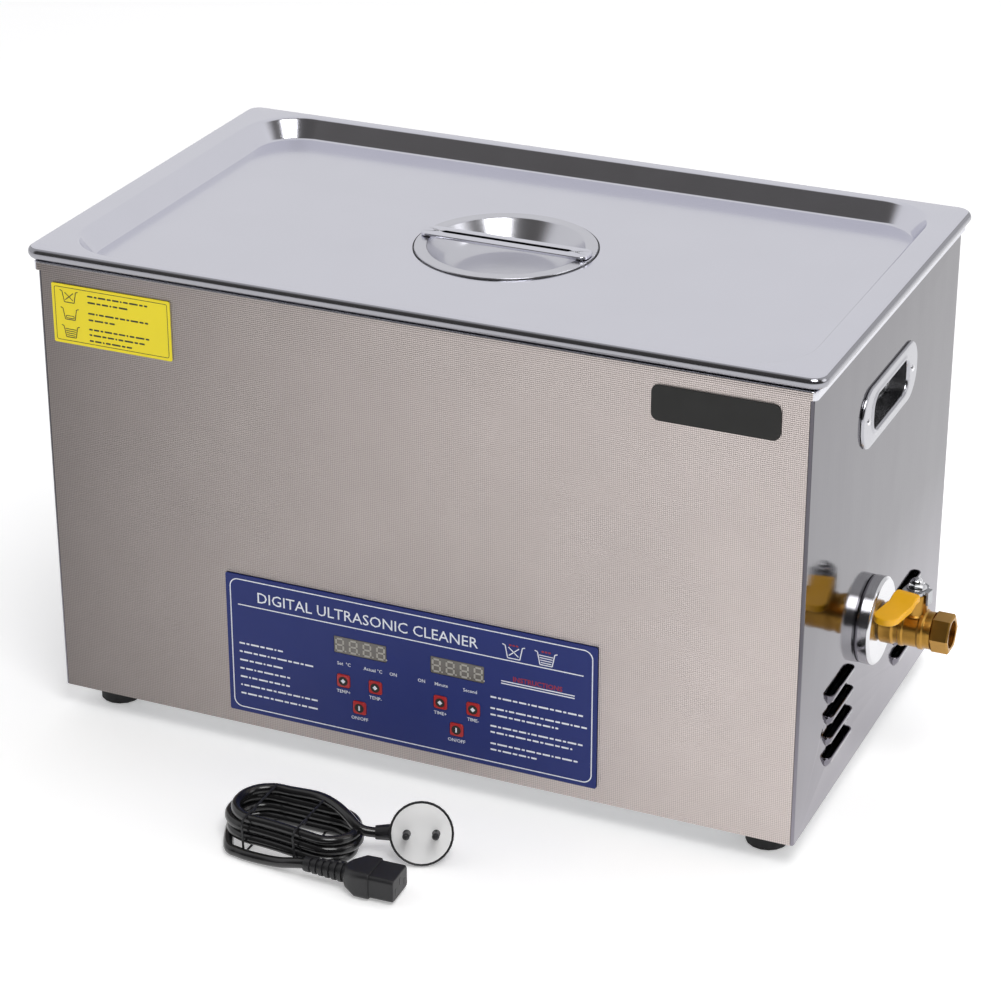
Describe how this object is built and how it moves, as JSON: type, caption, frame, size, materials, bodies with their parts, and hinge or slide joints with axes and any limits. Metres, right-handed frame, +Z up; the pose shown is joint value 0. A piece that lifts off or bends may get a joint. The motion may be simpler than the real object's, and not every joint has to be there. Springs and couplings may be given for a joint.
{
  "type": "ultrasonic cleaner",
  "caption": "Bench-top ultrasonic cleaner: stainless tank in a sheet-metal case with loose lid, digital control panel, side handles, brass drain valve and an unplugged mains lead.",
  "frame": {"origin": "middle of the machine's footprint, lead left out, on the surface that the rubber feet stand on", "axes": "+X to the right along the long side with the drain valve at its end, +Y to the rear away from the control panel, +Z up"},
  "size_m": [0.605, 0.4648, 0.345],
  "materials": {
    "embossed_steel": "embossed diamond weave, satin",
    "polished_steel": "mirror polished",
    "pressed_steel": "bright pressed stainless",
    "zinc_steel": "zinc plated",
    "black_rubber": "matt",
    "blue_overlay": "printed satin film",
    "red_key": "satin",
    "display_window": "smoked, glossy",
    "yellow_foil": "printed adhesive film",
    "black_foil": "printed adhesive film",
    "brass": "as cast and turned",
    "chrome": "bright plated",
    "yellow_vinyl": "dipped soft vinyl",
    "black_plastic": "moulded",
    "cord_pvc": "glossy PVC",
    "white_plastic": "moulded",
    "circuit_board": "solder mask",
    "copper_winding": "varnished winding",
    "transducer_metal": "turned",
    "heater_silicone": "silicone sheet"
  },
  "bodies": {
    "casing": {"front_panel": "embossed_steel", "rear_panel": "embossed_steel", "side_panel_left": "polished_steel", "side_panel_right": "polished_steel", "tank": "pressed_steel", "handle_left": "pressed_steel", "handle_right": "pressed_steel", "drain_flange": "pressed_steel", "base_plate": "zinc_steel", "foot_front_left": "black_rubber", "foot_front_right": "black_rubber", "foot_rear_left": "black_rubber", "foot_rear_right": "black_rubber", "control_panel": "blue_overlay", "display_temperature": "display_window", "display_time": "display_window", "notice_label": "yellow_foil", "name_plate": "black_foil", "valve_body": "brass", "drain_elbow": "brass", "fan_guard": "chrome", "appliance_inlet": "black_plastic", "switch_frame": "black_plastic", "fan_frame": "black_plastic", "plug": "cord_pvc", "cord_connector": "cord_pvc", "cord_hank": "cord_pvc", "cord_to_connector": "cord_pvc", "cord_to_plug": "cord_pvc", "plug_face": "white_plastic", "generator_board": "circuit_board", "display_board": "circuit_board", "mains_transformer": "copper_winding", "transducer_1": "transducer_metal", "transducer_2": "transducer_metal", "transducer_3": "transducer_metal", "transducer_4": "transducer_metal", "transducer_5": "transducer_metal", "transducer_6": "transducer_metal", "transducer_7": "transducer_metal", "transducer_8": "transducer_metal", "transducer_9": "transducer_metal", "transducer_10": "transducer_metal", "heater_pad": "heater_silicone"},
    "lid": {"lid": "polished_steel", "lid_dish": "pressed_steel", "lid_bar": "polished_steel"},
    "valve_spindle": {"valve_ball": "chrome", "valve_stem": "chrome", "valve_lever": "zinc_steel", "lever_sleeve": "yellow_vinyl"},
    "fan_rotor": {"fan_rotor": "black_plastic"},
    "switch_rocker": {"switch_rocker": "black_plastic"},
    "key_temp_up": {"key_temp_up": "red_key"},
    "key_temp_down": {"key_temp_down": "red_key"},
    "key_heat": {"key_heat": "red_key"},
    "key_time_up": {"key_time_up": "red_key"},
    "key_time_down": {"key_time_down": "red_key"},
    "key_ultrasound": {"key_ultrasound": "red_key"}
  },
  "joints": [
    {"name": "lid_lift", "type": "slide", "parent": "casing", "child": "lid", "axis": [0, 0, 1], "range_m": [0, 0.25]},
    {"name": "valve_turn", "type": "hinge", "parent": "casing", "child": "valve_spindle", "pos_m": [0.27655, -0.017, 0.115], "axis": [0, 0, 1], "range_deg": [0, 90]},
    {"name": "fan_spin", "type": "hinge", "parent": "casing", "child": "fan_rotor", "pos_m": [-0.17535, 0.1455, 0.084], "axis": [0, 1, 0], "continuous": true},
    {"name": "switch_tip", "type": "hinge", "parent": "casing", "child": "switch_rocker", "pos_m": [0.17665, 0.157, 0.058], "axis": [0, 0, 1], "range_deg": [0, 12]},
    {"name": "press_temp_up", "type": "slide", "parent": "casing", "child": "key_temp_up", "axis": [0, 1, 0], "range_m": [0, 0.0004], "stiffness_N_per_m": 500},
    {"name": "press_temp_down", "type": "slide", "parent": "casing", "child": "key_temp_down", "axis": [0, 1, 0], "range_m": [0, 0.0004], "stiffness_N_per_m": 500},
    {"name": "press_heat", "type": "slide", "parent": "casing", "child": "key_heat", "axis": [0, 1, 0], "range_m": [0, 0.0004], "stiffness_N_per_m": 500},
    {"name": "press_time_up", "type": "slide", "parent": "casing", "child": "key_time_up", "axis": [0, 1, 0], "range_m": [0, 0.0004], "stiffness_N_per_m": 500},
    {"name": "press_time_down", "type": "slide", "parent": "casing", "child": "key_time_down", "axis": [0, 1, 0], "range_m": [0, 0.0004], "stiffness_N_per_m": 500},
    {"name": "press_ultrasound", "type": "slide", "parent": "casing", "child": "key_ultrasound", "axis": [0, 1, 0], "range_m": [0, 0.0004], "stiffness_N_per_m": 500}
  ]
}
